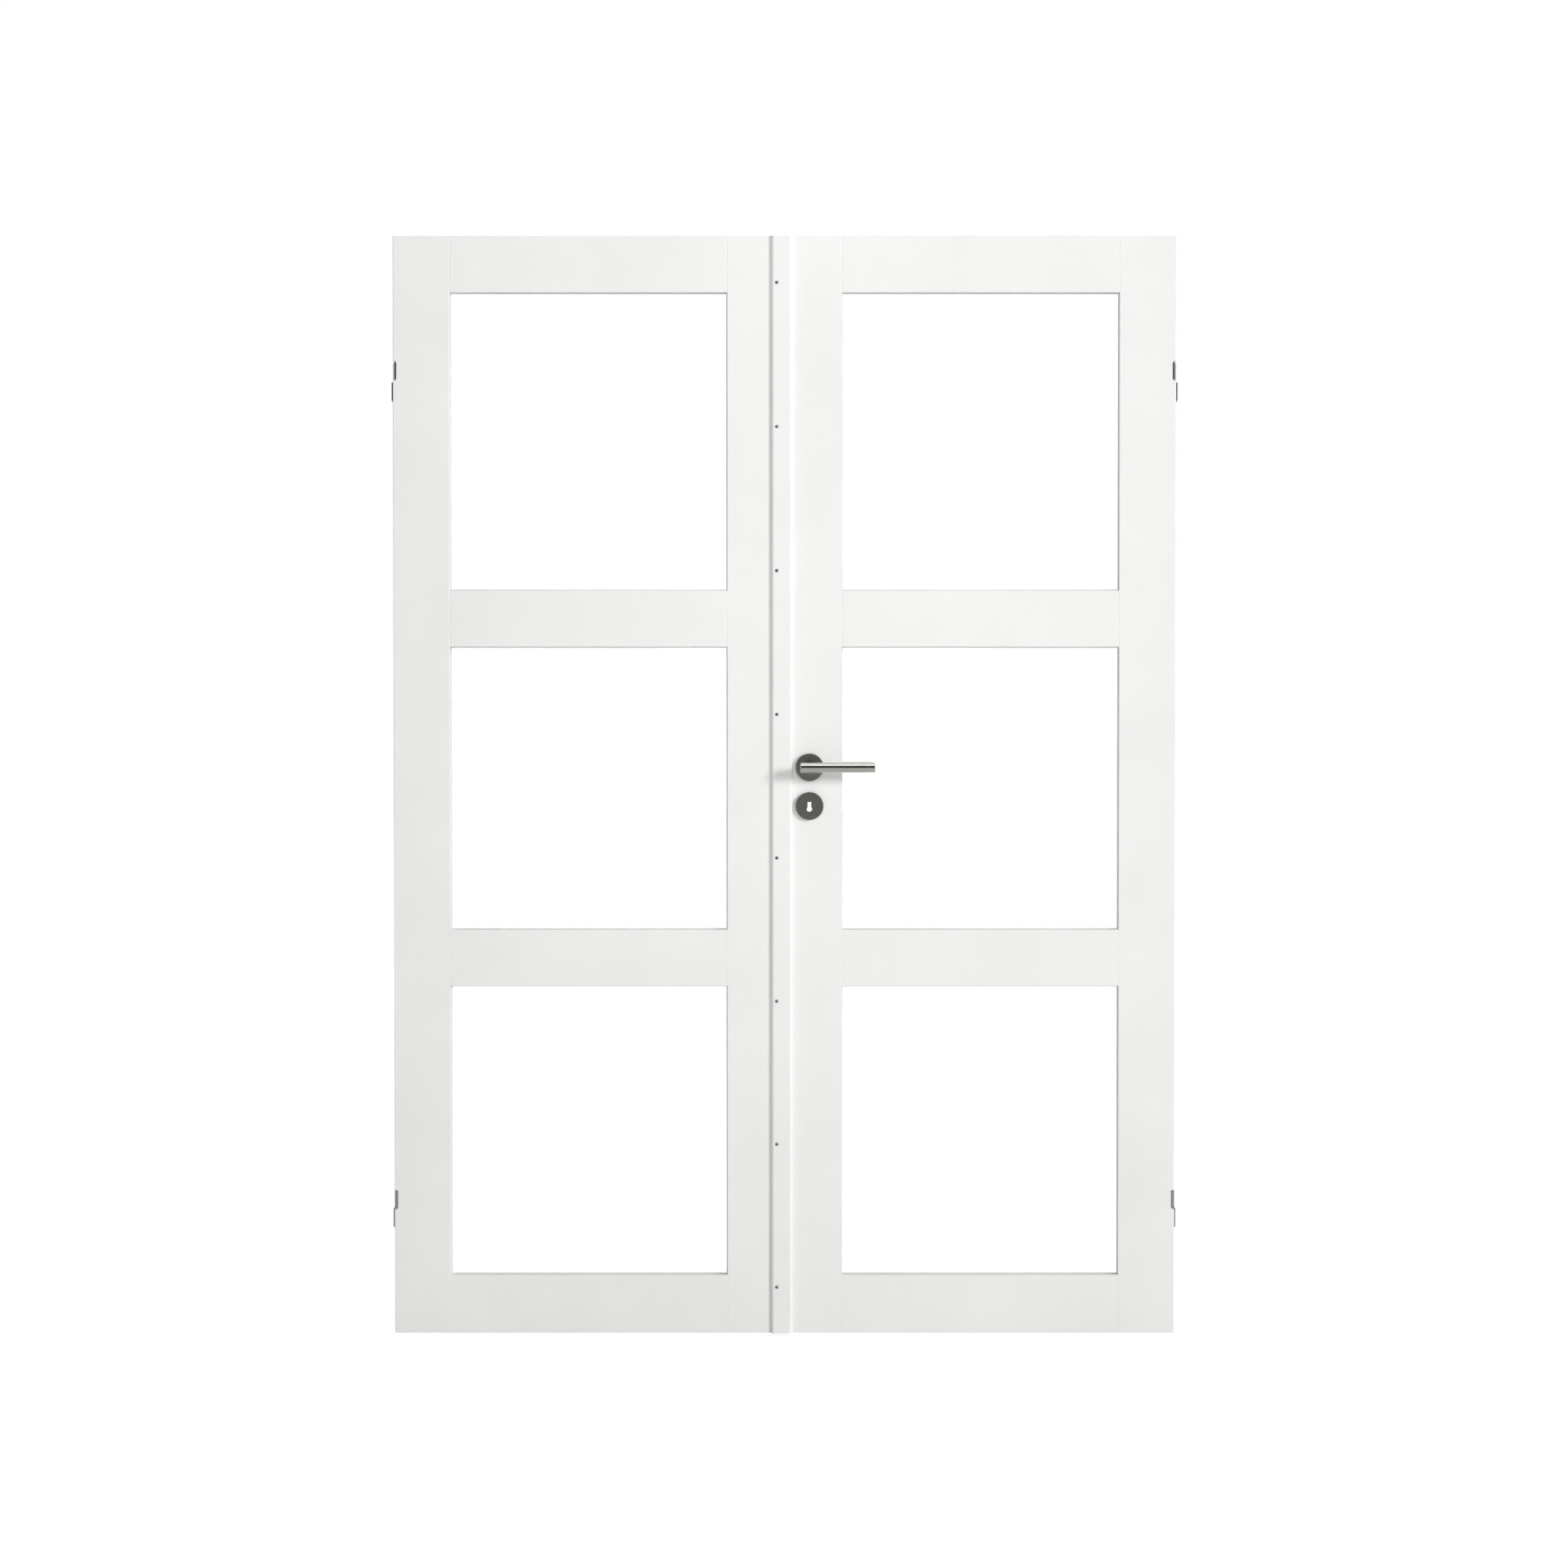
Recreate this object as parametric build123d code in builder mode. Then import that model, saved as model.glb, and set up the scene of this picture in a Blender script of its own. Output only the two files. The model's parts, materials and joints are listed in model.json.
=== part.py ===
from build123d import *
import os
from math import cos, radians, sin

# Glazed interior double doors. Two framed leaves with three panes each hang on lift-off hinges.
# The left leaf waits, held by flush bolts, and carries the cover strip and the strike plate.
# The right leaf is the one in daily use, with a mortise lock and a pair of lever handles.
# All sizes are millimetres. X runs across the pair and is 0 midway between the leaves, Y runs
# from the side with the cover strip to the side with the hinge knuckles, Z is 0 at the foot.

# Leaves
leaf_width = 725.0
leaf_height = 2040.0
leaf_thickness = 40.0
meeting_gap = 3.0
stile_width = 105.0
top_rail_height = 104.0
middle_rail_height = 105.0
bottom_rail_height = 108.0
top_opening_height = 552.0
middle_opening_height = 526.0
outer_radius = 1.5
meeting_radius = 3.0
joint_bevel = 0.8

# Glued joints between rails and stiles
tenon_thickness = 14.0
tenon_shoulder = 18.0
glue_gap = 0.2
mortise_end_gap = 1.0
tenon_to_lock = 4.0

# Glazing, set from the back against a lip on the front
lip_depth = 16.0
glass_thickness = 4.0
rebate_width = 12.0
glass_edge_gap = 2.0
bead_bevel = 2.0
mitre_gap = 0.1

# Cover strip over the meeting gap
strip_width = 40.0
strip_thickness = 7.0
strip_lap = 13.5
strip_radius = 6.0
strip_relief = 0.5
strip_screw_count = 8
strip_screw_margin = 86.5
strip_screw_line = 10.5

# Countersunk screws: strip, plates and hinges
strip_screw_radius = 1.75
strip_screw_head_radius = 3.2
strip_screw_length = 20.0
wood_screw_radius = 1.75
wood_screw_head_radius = 3.4
wood_screw_length = 24.0
screw_gap = 0.1

# Lift-off hinges
hinge_end_distance = 249.0
knuckle_radius = 8.0
knuckle_height = 36.0
knuckle_gap = 0.5
hinge_pin_inset = 3.0
hinge_pin_radius = 4.0
hinge_pin_head_radius = 6.0
hinge_pin_head_height = 3.0
hinge_cap_thickness = 4.0
washer_thickness = 1.0
running_fit = 0.05
leaf_plate_thickness = 3.5
leaf_plate_setback = 3.0
leaf_plate_screw_spacing = 18.0
hinge_recess_radius = 3.0
frame_plate_thickness = 2.5
frame_plate_reach = 24.0
frame_plate_radius = 3.0
frame_hole_radius = 2.25
frame_hole_head_radius = 4.0
frame_hole_spacing = 20.0
frame_hole_margin = 8.0

# Mortise lock
backset = 45.0
lever_height = 1055.0
key_drop = 72.0
case_thickness = 15.0
case_wall = 1.5
case_above = 57.0
case_below = 120.0
case_behind = 18.0
case_gap = 1.0
forend_length = 235.0
forend_width = 20.0
forend_thickness = 3.0
forend_gap = 0.1
forend_screw_margin = 12.0
case_post_radius = 3.5
case_post_margin = 6.5
case_rivet_radius = 2.0
guide_radius = 1.5
slide_gap = 0.3

# Follower, latch bolt and dead bolt inside the lock
spindle_size = 8.0
spindle_gap = 0.05
spindle_length = 100.0
follower_radius = 11.0
follower_thickness = 8.0
hub_radius = 8.0
arm_width = 5.0
lever_turn = 40.0
latch_throw = 10.0
latch_rise = 30.0
bolt_head_height = 22.0
bolt_head_thickness = 11.0
latch_head_inside = 9.5
latch_nose = 3.0
tail_thickness = 3.0
latch_tail_height = 12.0
latch_lug_width = 6.0
latch_guide_setback = 26.0
dead_bolt_throw = 14.0
dead_bolt_head_length = 25.0
dead_bolt_below_key = 23.0
dead_bolt_tail_height = 16.0
dead_bolt_tail_end = 4.0
dead_bolt_guide_setback = 34.0
dead_bolt_slot_drop = 4.0
talon_width = 8.0
talon_depth = 4.0
spring_radius = 2.0
spring_wire_radius = 0.4
spring_end_wire = 2.0
spring_stud_radius = 1.0
spring_stud_length = 3.6
latch_stud_setback = 22.5
latch_stud_rise = 3.5

# Key hole
key_hole_radius = 5.2
key_slot_width = 7.0
key_hole_height = 19.0
escutcheon_hole_width = 10.5
escutcheon_hole_height = 24.0

# Lever handles, roses and escutcheons
lever_radius = 9.5
lever_length = 138.0
lever_heel = 17.0
lever_projection = 50.0
lever_end_bevel = 1.0
neck_radius = 9.0
neck_gap = 0.3
neck_end_gap = 0.5
spindle_socket = 31.0
rose_radius = 26.0
rose_height = 8.0
rose_wall = 1.2
rose_edge_radius = 1.5
base_gap = 0.2
base_peg_spacing = 38.0
base_peg_radius = 3.5
base_peg_length = 6.0
spindle_bore_radius = 12.0
set_screw_radius = 2.5
set_screw_length = 4.6
set_screw_distance = 14.0

# Strike plate
strike_length = 180.0
strike_width = 22.0
strike_thickness = 2.0
strike_lip_height = 30.0
strike_screw_margin = 10.0
strike_window_gap = 1.0
strike_pocket_room = 5.0

# Flush bolts
flush_plate_length = 150.0
flush_plate_width = 18.0
flush_plate_thickness = 2.5
flush_plate_end_distance = 40.0
flush_plate_screw_margin = 10.0
flush_bolt_travel = 16.0
flush_bolt_radius = 4.0
flush_bolt_setback = 20.5
flush_screw_length = 14.0
flush_bolt_sink = 1.0
thumb_height = 18.0
thumb_width = 9.0
thumb_sink = 0.5
thumb_ridge = 0.8
thumb_ridge_count = 4
flush_slot_width = 10.0

# Places worked out from these sizes
front = -leaf_thickness / 2
back = leaf_thickness / 2
meeting_edge = meeting_gap / 2
meeting_joint = meeting_edge + stile_width
outer_edge = meeting_edge + leaf_width
outer_joint = outer_edge - stile_width
leaf_middle = meeting_edge + leaf_width / 2
opening_width = leaf_width - 2 * stile_width
tenon_length = stile_width - backset - case_behind - tenon_to_lock
glass_front = front + lip_depth
glass_back = glass_front + glass_thickness

top_rail_foot = leaf_height - top_rail_height
top_opening_foot = top_rail_foot - top_opening_height
upper_rail_foot = top_opening_foot - middle_rail_height
middle_opening_foot = upper_rail_foot - middle_opening_height
lower_rail_foot = middle_opening_foot - middle_rail_height
rails = {
    "bottom_rail": (0, bottom_rail_height),
    "lower_middle_rail": (lower_rail_foot, middle_opening_foot),
    "upper_middle_rail": (upper_rail_foot, top_opening_foot),
    "top_rail": (top_rail_foot, leaf_height),
}
openings = {
    "bottom_glass": (bottom_rail_height, lower_rail_foot),
    "middle_glass": (middle_opening_foot, upper_rail_foot),
    "top_glass": (top_opening_foot, top_rail_foot),
}

strip_face = front - strip_thickness
strip_right = meeting_edge + strip_lap
strip_left = strip_right - strip_width
strip_screw_x = strip_left + strip_screw_line
strip_screw_pitch = (leaf_height - 2 * strip_screw_margin) / (strip_screw_count - 1)
strip_screw_heights = [strip_screw_margin + n * strip_screw_pitch for n in range(strip_screw_count)]

hinge_heights = [hinge_end_distance, leaf_height - hinge_end_distance]
hinge_x = outer_edge - hinge_pin_inset
hinge_y = back + knuckle_radius + knuckle_gap
hinge_recess_depth = leaf_plate_setback + leaf_plate_thickness
leaf_plate_height = knuckle_height - 2 * hinge_recess_radius
frame_knuckle_drop = knuckle_height / 2 + washer_thickness
frame_plate_face = hinge_x + knuckle_radius - frame_plate_thickness

lock_x = meeting_edge + backset
key_height = lever_height - key_drop
latch_height = lever_height + latch_rise
dead_bolt_height = key_height - dead_bolt_below_key
case_front = meeting_edge + forend_thickness
case_back = lock_x + case_behind
case_foot = lever_height - case_below
case_head = lever_height + case_above
case_half = case_thickness / 2
case_inside = case_half - case_wall
forend_height = (case_foot + case_head) / 2
forend_screw_heights = [
    forend_height + end * (forend_length / 2 - forend_screw_margin) for end in (-1, 1)
]
case_post_places = [
    (x, z)
    for x in (case_front + case_post_margin, case_back - case_post_margin)
    for z in (case_foot + case_post_margin + case_wall, case_head - case_post_margin - case_wall)
]
arm_reach = latch_throw / (2 * sin(radians(lever_turn / 2)))
latch_lug_left = lock_x - latch_throw / 2 + arm_width / 2 + slide_gap
case_stud_x = case_front + latch_stud_setback
latch_stud_x = latch_lug_left + latch_lug_width / 2
spring_stud_height = latch_height + latch_stud_rise
latch_guide_x = case_front + latch_guide_setback
dead_bolt_guide_x = case_front + dead_bolt_guide_setback
strike_height = (latch_height + dead_bolt_height) / 2
strike_screw_heights = [
    strike_height + end * (strike_length / 2 - strike_screw_margin) for end in (-1, 1)
]
lever_axis_y = front - lever_projection
flush_plate_height = leaf_height - flush_plate_end_distance - flush_plate_length / 2
flush_bolt_x = -meeting_edge - flush_bolt_setback
flush_slot_height = thumb_height + flush_bolt_travel + 2 * slide_gap
flush_bolt_bore = leaf_height - flush_plate_height
thumb_foot = flush_plate_height - flush_slot_height / 2 + slide_gap
flush_screw_heights = [
    flush_plate_height + end * (flush_plate_length / 2 - flush_plate_screw_margin)
    for end in (-1, 1)
]

FRONT_TO_BACK = Plane.XZ
LEFT_TO_RIGHT = Plane.YZ
TOP_TO_BOTTOM = Plane.XY.offset(leaf_height / 2)


def save(piece, name):
    """Names a finished piece and writes it to its own file."""
    piece.part.label = name
    export_step(piece.part, f"parts/{name}.step")


def mirrored(piece, about):
    """The same piece on the other side of a plane."""
    with BuildPart() as twin:
        mirror(piece.part, about=about)
    return twin


def joined_copies(piece, about):
    """A piece and its mirror image, as two solids in one part."""
    with BuildPart() as pair:
        add(piece.part)
        mirror(piece.part, about=about)
    return pair


def facing_x(x, direction):
    """A plane across X, facing along direction, with direction * Y to the right and Z up."""
    return Plane(origin=(x, 0, 0), x_dir=(0, direction, 0), z_dir=(direction, 0, 0))


def facing_front(y):
    """A plane at y that faces the front, with X to the right and Z up."""
    return Plane.XZ.offset(-y)


def facing_back(y):
    """A plane at y that faces the back, with -X to the right and Z up."""
    return Plane(origin=(0, y, 0), x_dir=(-1, 0, 0), z_dir=(0, 1, 0))


def countersunk_screw(radius, head_radius, length):
    """A screw that points down from Z 0, where the flat of its head lies."""
    with BuildPart() as screw:
        with BuildSketch(Plane.XZ):
            with BuildLine():
                Polyline(
                    (0, 0),
                    (head_radius, 0),
                    (radius, radius - head_radius),
                    (radius, -length),
                    (0, -length),
                    close=True,
                )
            make_face()
        revolve(axis=Axis.Z)
    return screw.part


def place_screws(screw, plane, points):
    """Adds a copy of the screw at each point of the plane."""
    with Locations(plane):
        with Locations(*points):
            add(screw)


def sink_holes(plane, points, radius, head_radius, depth):
    """Cuts countersunk holes for screws that stand in the plane."""
    with Locations(plane):
        with Locations(*points):
            CounterSinkHole(
                radius + screw_gap, head_radius + screw_gap, depth=depth, counter_sink_angle=90
            )


def pilot_holes(plane, points, radius, depth):
    """Cuts plain holes into the wood behind a plate, as deep as the screws reach."""
    with Locations(plane):
        with Locations(*points):
            Hole(radius + screw_gap, depth=depth + screw_gap)


strip_screw = countersunk_screw(strip_screw_radius, strip_screw_head_radius, strip_screw_length)
wood_screw = countersunk_screw(wood_screw_radius, wood_screw_head_radius, wood_screw_length)
flush_screw = countersunk_screw(wood_screw_radius, wood_screw_head_radius, flush_screw_length)

strip_screw_points = [(strip_screw_x, z) for z in strip_screw_heights]
hinge_screw_points = [
    (y, z)
    for y in (-leaf_plate_screw_spacing / 2, leaf_plate_screw_spacing / 2)
    for z in hinge_heights
]
forend_screw_points = [(0, z) for z in forend_screw_heights]
strike_screw_points = [(0, z) for z in strike_screw_heights]
flush_screw_points = [(0, z) for z in flush_screw_heights] + [
    (0, leaf_height - z) for z in flush_screw_heights
]
base_peg_points = [
    (lock_x, z + end * base_peg_spacing / 2)
    for z in (lever_height, key_height)
    for end in (-1, 1)
]


def board(edge, joint, radius):
    """A stile from foot to head, rounded on its free edge and bevelled where the rails meet it."""
    with BuildSketch() as section:
        with Locations(((edge + joint) / 2, 0)):
            Rectangle(stile_width, leaf_thickness)
        free_edge = Axis((joint, 0, 0), (edge - joint, 0, 0))
        fillet(section.vertices().group_by(free_edge)[-1], radius)
        chamfer(section.vertices().group_by(free_edge)[0], joint_bevel)
    extrude(section.sketch, amount=leaf_height)


def cut_mortises(joint):
    """Cuts the four mortises in a stile, from the side where the rails meet it."""
    for foot, head in rails.values():
        with Locations((joint, 0, (foot + head) / 2)):
            Box(
                2 * (tenon_length + mortise_end_gap),
                tenon_thickness + 2 * glue_gap,
                head - foot - 2 * tenon_shoulder + 2 * glue_gap,
                mode=Mode.SUBTRACT,
            )


def cut_glass_rebates():
    """Cuts the rebates for the three panes from the back, leaving the lip on the front."""
    for foot, head in openings.values():
        with Locations((leaf_middle, (glass_front + back) / 2, (foot + head) / 2)):
            Box(
                opening_width + 2 * rebate_width,
                back - glass_front,
                head - foot + 2 * rebate_width,
                mode=Mode.SUBTRACT,
            )


def outer_stile():
    with BuildPart() as stile:
        board(outer_edge, outer_joint, outer_radius)
        cut_mortises(outer_joint)
        cut_glass_rebates()
        with BuildSketch(facing_front(back)) as recess:
            with Locations(*[(outer_edge, z) for z in hinge_heights]):
                Rectangle(2 * hinge_recess_depth, knuckle_height)
            fillet(recess.vertices(), hinge_recess_radius)
        extrude(amount=leaf_thickness, mode=Mode.SUBTRACT)
        pilot_holes(
            facing_x(outer_edge - hinge_recess_depth, 1),
            hinge_screw_points,
            wood_screw_radius,
            wood_screw_length - leaf_plate_thickness,
        )
    return stile


def plain_meeting_stile():
    with BuildPart() as stile:
        board(meeting_edge, meeting_joint, meeting_radius)
        cut_mortises(meeting_joint)
        cut_glass_rebates()
    return stile


def rail(foot, head):
    """A rail with its two tenons, rebated above and below where it borders a pane."""
    with BuildPart() as piece:
        with BuildSketch(Plane.XY.offset(foot)) as section:
            with Locations((leaf_middle, 0)):
                Rectangle(opening_width, leaf_thickness)
            chamfer(section.vertices(), joint_bevel)
        extrude(amount=head - foot)
        fillet(piece.edges().filter_by(Axis.X), joint_bevel)
        with Locations((leaf_middle, 0, (foot + head) / 2)):
            Box(
                opening_width + 2 * tenon_length,
                tenon_thickness,
                head - foot - 2 * tenon_shoulder,
            )
        cut_glass_rebates()
    return piece


def glass(foot, head):
    with BuildPart() as pane:
        with Locations((leaf_middle, (glass_front + glass_back) / 2, (foot + head) / 2)):
            Box(
                opening_width + 2 * (rebate_width - glass_edge_gap),
                glass_thickness,
                head - foot + 2 * (rebate_width - glass_edge_gap),
            )
    return pane


def is_sight_edge(edge):
    """True where an edge of a bead borders the clear opening of a pane."""
    place = edge.center()
    across = abs(place.X - leaf_middle) < opening_width / 2 + mitre_gap
    return across and any(
        foot - mitre_gap < place.Z < head + mitre_gap for foot, head in openings.values()
    )


def glazing_beads():
    """Four mitred beads behind each pane, flush with the lip round the clear opening."""
    half_width = opening_width / 2
    with BuildPart() as beads:
        with BuildSketch(facing_front(back)):
            for foot, head in openings.values():
                half_height = (head - foot) / 2
                with Locations((leaf_middle, (foot + head) / 2)):
                    for end in (-1, 1):
                        Polygon(
                            (mitre_gap - half_width - rebate_width, end * (half_height + rebate_width)),
                            (half_width + rebate_width - mitre_gap, end * (half_height + rebate_width)),
                            (half_width - mitre_gap, end * half_height),
                            (mitre_gap - half_width, end * half_height),
                            align=None,
                        )
                        Polygon(
                            (end * (half_width + rebate_width), mitre_gap - half_height - rebate_width),
                            (end * (half_width + rebate_width), half_height + rebate_width - mitre_gap),
                            (end * half_width, half_height - mitre_gap),
                            (end * half_width, mitre_gap - half_height),
                            align=None,
                        )
        extrude(amount=back - glass_back)
        chamfer(beads.edges().group_by(Axis.Y)[-1].filter_by(is_sight_edge), bead_bevel)
    return beads


def cover_strip():
    """The strip on the left leaf's front, rounded on both long edges and relieved over the lap."""
    with BuildPart() as strip:
        with BuildSketch() as section:
            with BuildLine():
                Polyline(
                    (strip_left, front),
                    (strip_left, strip_face),
                    (strip_right, strip_face),
                    (strip_right, front - strip_relief),
                    (-meeting_edge, front - strip_relief),
                    (-meeting_edge, front),
                    close=True,
                )
            make_face()
            fillet(section.vertices().group_by(Axis.Y)[0], strip_radius)
        extrude(amount=leaf_height)
        sink_holes(
            facing_front(strip_face),
            strip_screw_points,
            strip_screw_radius,
            strip_screw_head_radius,
            strip_thickness,
        )
    return strip


def leaf_hinge_halves():
    """The two halves on a leaf: a knuckle closed at the top and a plate let into the edge."""
    with BuildPart() as halves:
        for height in hinge_heights:
            foot = height - knuckle_height / 2
            with BuildSketch(Plane.XY.offset(foot)):
                with Locations((hinge_x, hinge_y)):
                    Circle(knuckle_radius)
            extrude(amount=knuckle_height)
            with Locations(
                (
                    outer_edge - leaf_plate_setback - leaf_plate_thickness / 2,
                    (front + hinge_y) / 2,
                    height,
                )
            ):
                Box(leaf_plate_thickness, hinge_y - front, leaf_plate_height)
            with Locations((hinge_x, hinge_y, foot)):
                Cylinder(
                    hinge_pin_radius + running_fit,
                    knuckle_height - hinge_cap_thickness,
                    align=(Align.CENTER, Align.CENTER, Align.MIN),
                    mode=Mode.SUBTRACT,
                )
        sink_holes(
            facing_x(outer_edge - leaf_plate_setback, 1),
            hinge_screw_points,
            wood_screw_radius,
            wood_screw_head_radius,
            leaf_plate_thickness,
        )
    return halves


def frame_hinge_half(height):
    """A half for the frame: the lower knuckle, with a plate rolled off it for two screws."""
    head = height - frame_knuckle_drop
    plate_front = hinge_y - frame_plate_reach
    with BuildPart() as half:
        with BuildSketch(Plane.XY.offset(head)):
            with Locations((hinge_x, hinge_y)):
                Circle(knuckle_radius)
            with Locations(
                (frame_plate_face + frame_plate_thickness / 2, (plate_front + hinge_y) / 2)
            ):
                Rectangle(frame_plate_thickness, frame_plate_reach)
            with Locations((hinge_x, hinge_y)):
                Circle(hinge_pin_radius + running_fit, mode=Mode.SUBTRACT)
        extrude(amount=-knuckle_height)
        fillet(half.edges().filter_by(Axis.X).group_by(Axis.Y)[0], frame_plate_radius)
        sink_holes(
            facing_x(frame_plate_face, -1),
            [
                (-plate_front - frame_hole_margin, head - knuckle_height / 2 + end * frame_hole_spacing / 2)
                for end in (-1, 1)
            ],
            frame_hole_radius,
            frame_hole_head_radius,
            frame_plate_thickness,
        )
    return half


def hinge_pins():
    """Pins with a button head, up through both knuckles and short of the upper one's cap."""
    pin_length = 2 * knuckle_height - hinge_cap_thickness
    with BuildPart() as pins:
        for height in hinge_heights:
            foot = height - frame_knuckle_drop - knuckle_height
            with BuildSketch(Plane.XY.offset(foot)):
                with Locations((hinge_x, hinge_y)):
                    Circle(hinge_pin_radius)
            extrude(amount=pin_length)
            with BuildSketch(Plane.XY.offset(foot)):
                with Locations((hinge_x, hinge_y)):
                    Circle(hinge_pin_head_radius)
            extrude(amount=-hinge_pin_head_height)
        chamfer(
            pins.edges().filter_by(GeomType.CIRCLE).group_by(SortBy.RADIUS)[-1],
            hinge_pin_head_height / 3,
        )
    return pins


def hinge_washers():
    with BuildPart() as washers:
        for height in hinge_heights:
            with BuildSketch(Plane.XY.offset(height - frame_knuckle_drop)):
                with Locations((hinge_x, hinge_y)):
                    Circle(knuckle_radius)
                    Circle(hinge_pin_radius + running_fit, mode=Mode.SUBTRACT)
            extrude(amount=washer_thickness)
    return washers


def bolt_windows(gap, mode=Mode.ADD):
    """Sketches the two openings that the latch bolt and the dead bolt pass through."""
    with Locations((0, latch_height), (0, dead_bolt_height)):
        Rectangle(bolt_head_thickness + 2 * gap, bolt_head_height + 2 * gap, mode=mode)


def key_hole():
    """Sketches the lock's key hole: a round foot with a narrower slot above it."""
    foot = key_height - escutcheon_hole_height / 2
    with Locations((lock_x, foot + key_hole_radius)):
        Circle(key_hole_radius)
    with Locations((lock_x, foot + key_hole_radius)):
        Rectangle(
            key_slot_width,
            key_hole_height - key_hole_radius,
            align=(Align.CENTER, Align.MIN),
        )


def forend():
    with BuildPart() as plate:
        with BuildSketch(facing_x(meeting_edge, -1)):
            with Locations((0, forend_height)):
                SlotOverall(forend_length, forend_width, rotation=90)
            bolt_windows(slide_gap, mode=Mode.SUBTRACT)
        extrude(amount=-forend_thickness)
        sink_holes(
            facing_x(meeting_edge, -1),
            forend_screw_points,
            wood_screw_radius,
            wood_screw_head_radius,
            forend_thickness,
        )
    return plate


def lock_case():
    """The pressed tray, floor to the front: guide pins, hub bearing and posts with rivet ends."""
    case_length = case_back - case_front
    case_height = case_head - case_foot
    case_middle = ((case_front + case_back) / 2, (case_foot + case_head) / 2)
    with BuildPart() as case:
        with BuildSketch(facing_front(-case_half)):
            with Locations(case_middle):
                Rectangle(case_length, case_height)
        extrude(amount=-(case_half + case_inside))
        with BuildSketch(facing_front(case_inside)):
            with Locations(case_middle):
                Rectangle(case_length - 2 * case_wall, case_height - 2 * case_wall)
        extrude(amount=2 * case_inside, mode=Mode.SUBTRACT)
        with BuildSketch(facing_x(case_front, -1)):
            bolt_windows(slide_gap)
        extrude(amount=-case_wall, mode=Mode.SUBTRACT)
        with BuildSketch(facing_front(-case_inside)):
            with Locations(*case_post_places):
                Circle(case_post_radius)
            with Locations(
                (latch_guide_x, latch_height),
                (dead_bolt_guide_x, dead_bolt_height - dead_bolt_slot_drop),
            ):
                Circle(guide_radius)
        extrude(amount=-2 * case_inside)
        with BuildSketch(facing_front(case_inside)):
            with Locations(*case_post_places):
                Circle(case_rivet_radius)
        extrude(amount=-case_wall)
        with BuildSketch(facing_front(-case_half)):
            with Locations((lock_x, lever_height)):
                Circle(hub_radius + running_fit)
            key_hole()
        extrude(amount=-case_wall, mode=Mode.SUBTRACT)
    return case


def lock_cover():
    """The flat cover riveted on at the back, with a stud for the latch bolt's spring."""
    with BuildPart() as cover:
        with BuildSketch(facing_front(case_half)):
            with Locations(((case_front + case_back) / 2, (case_foot + case_head) / 2)):
                Rectangle(case_back - case_front, case_head - case_foot)
            with Locations((lock_x, lever_height)):
                Circle(hub_radius + running_fit, mode=Mode.SUBTRACT)
            with Locations(*case_post_places):
                Circle(case_rivet_radius + running_fit, mode=Mode.SUBTRACT)
        extrude(amount=case_wall)
        with BuildSketch(facing_front(case_half)):
            key_hole()
        extrude(amount=case_wall, mode=Mode.SUBTRACT)
        with BuildSketch(facing_front(case_inside)):
            with Locations((case_stud_x, spring_stud_height)):
                Circle(spring_stud_radius)
        extrude(amount=spring_stud_length)
    return cover


def lock_follower():
    """The hub that the spindle turns. Its upper arm draws the latch bolt in."""
    with BuildPart() as follower:
        with BuildSketch(facing_front(follower_thickness / 2)):
            with Locations((lock_x, lever_height)):
                Circle(follower_radius)
                SlotCenterToCenter(2 * arm_reach, arm_width, rotation=90 + lever_turn / 2)
        extrude(amount=follower_thickness)
        with BuildSketch(facing_front(case_half)):
            with Locations((lock_x, lever_height)):
                Circle(hub_radius)
        extrude(amount=case_thickness)
        with BuildSketch(facing_front(case_half)):
            with Locations((lock_x, lever_height)):
                Rectangle(spindle_size + 2 * spindle_gap, spindle_size + 2 * spindle_gap)
        extrude(amount=case_thickness, mode=Mode.SUBTRACT)
    return follower


def latch_bolt():
    """The sprung bolt: a head bevelled on the closing side, and a slotted tail with a lug."""
    tip = meeting_edge - latch_throw
    shoulder = case_front + latch_head_inside
    half = bolt_head_thickness / 2
    lug_right = latch_lug_left + latch_lug_width
    tail_foot = latch_height - latch_tail_height / 2
    lug_foot = lever_height + arm_reach * cos(radians(lever_turn / 2))
    with BuildPart() as bolt:
        with BuildSketch(Plane.XY.offset(latch_height - bolt_head_height / 2)):
            Polygon(
                (tip, half),
                (tip, half - latch_nose),
                (meeting_edge, -half),
                (shoulder, -half),
                (shoulder, half),
                align=None,
            )
        extrude(amount=bolt_head_height)
        with BuildSketch(facing_front(tail_thickness / 2)):
            with Locations((shoulder, latch_height)):
                Rectangle(lug_right - shoulder, latch_tail_height, align=(Align.MIN, Align.CENTER))
            with Locations((latch_lug_left, lug_foot)):
                Rectangle(latch_lug_width, tail_foot - lug_foot, align=(Align.MIN, Align.MIN))
            with Locations((latch_guide_x - latch_throw / 2, latch_height)):
                SlotCenterToCenter(
                    latch_throw, 2 * (guide_radius + slide_gap), mode=Mode.SUBTRACT
                )
        extrude(amount=tail_thickness)
        with BuildSketch(facing_front(tail_thickness / 2)):
            with Locations((latch_stud_x, spring_stud_height)):
                Circle(spring_stud_radius)
        extrude(amount=-spring_stud_length)
    return bolt


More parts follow.
